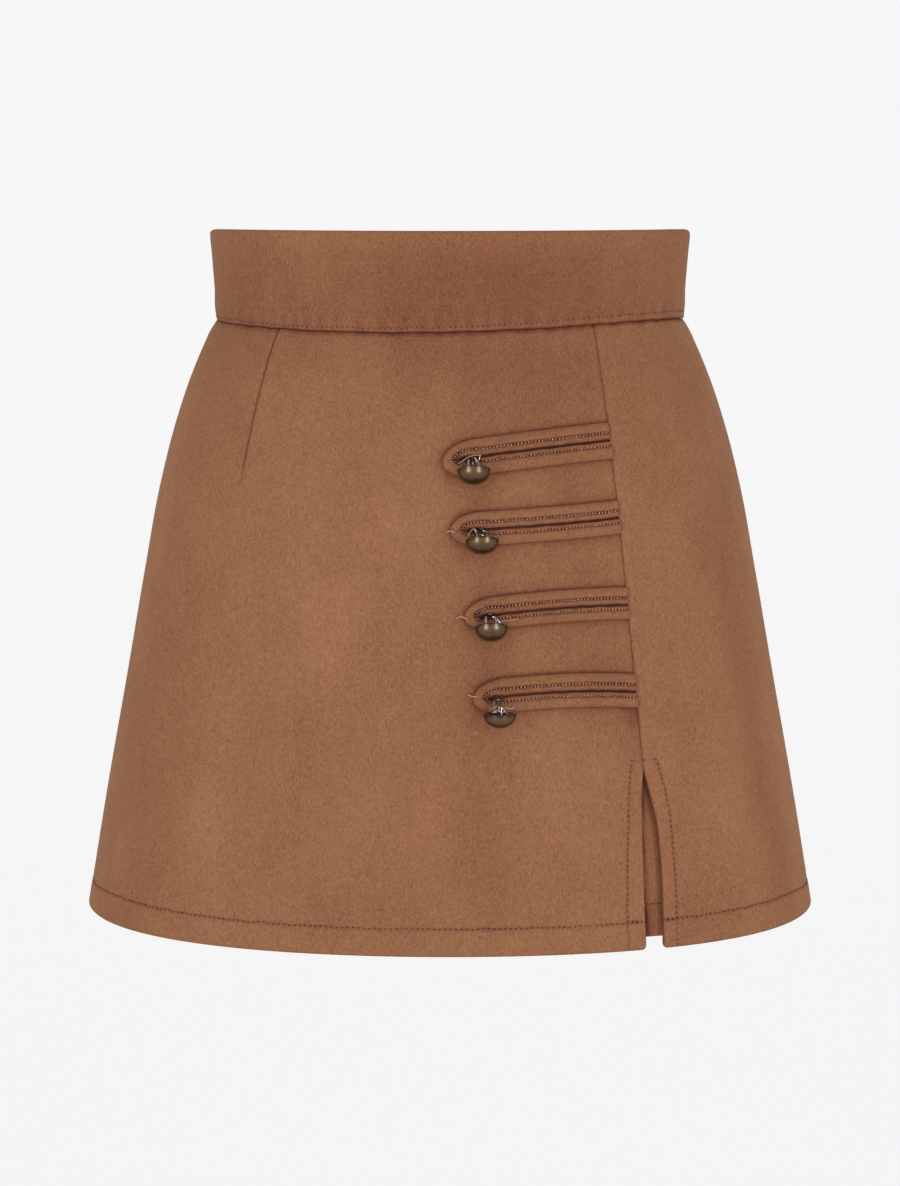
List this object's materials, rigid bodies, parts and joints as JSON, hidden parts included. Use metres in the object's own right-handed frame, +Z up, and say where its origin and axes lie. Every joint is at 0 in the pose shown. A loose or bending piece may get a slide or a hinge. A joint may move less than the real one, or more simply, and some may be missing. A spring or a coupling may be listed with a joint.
{
  "type": "skort",
  "caption": "High-waisted flared skort: shorts with a suede-look skirt front over them, a slit at the panel seam, button loops with hanging half-ball buttons, and a centre back zip.",
  "frame": {"origin": "centre of the waist seam's ring, where the wearer's waist holds the garment", "axes": "+Z up, front of the garment towards -Y, +X towards the slit's side, which is the wearer's left"},
  "size_m": [0.3958, 0.2559, 0.3714],
  "materials": {
    "suede": "brushed suede-look cloth, tan",
    "aged_bronze": "aged bronze plating, satin",
    "eye_wire": "bright drawn wire",
    "zip_tape": "woven tape, tan",
    "zip_metal": "aged bronze plating, satin"
  },
  "bodies": {
    "garment": {"waistband_front": "suede", "waistband_back_left": "suede", "waistband_back_right": "suede", "front_panel": "suede", "side_front_panel": "suede", "shorts_front_left": "suede", "shorts_front_right": "suede", "shorts_back_left": "suede", "shorts_back_right": "suede", "tab_1": "suede", "tab_2": "suede", "tab_3": "suede", "tab_4": "suede", "button_1": "aged_bronze", "button_2": "aged_bronze", "button_3": "aged_bronze", "button_4": "aged_bronze", "button_eye_1": "eye_wire", "button_eye_2": "eye_wire", "button_eye_3": "eye_wire", "button_eye_4": "eye_wire", "zip_tape_left": "zip_tape", "zip_tape_right": "zip_tape", "zip_slider": "zip_metal"},
    "zip_pull_tab": {"zip_pull": "zip_metal"}
  },
  "joints": [
    {"name": "zip_pull_hinge", "type": "hinge", "parent": "garment", "child": "zip_pull_tab", "pos_m": [0, 0.09811, 0.0382], "axis": [1, 0, 0], "range_deg": [0, 165]}
  ]
}
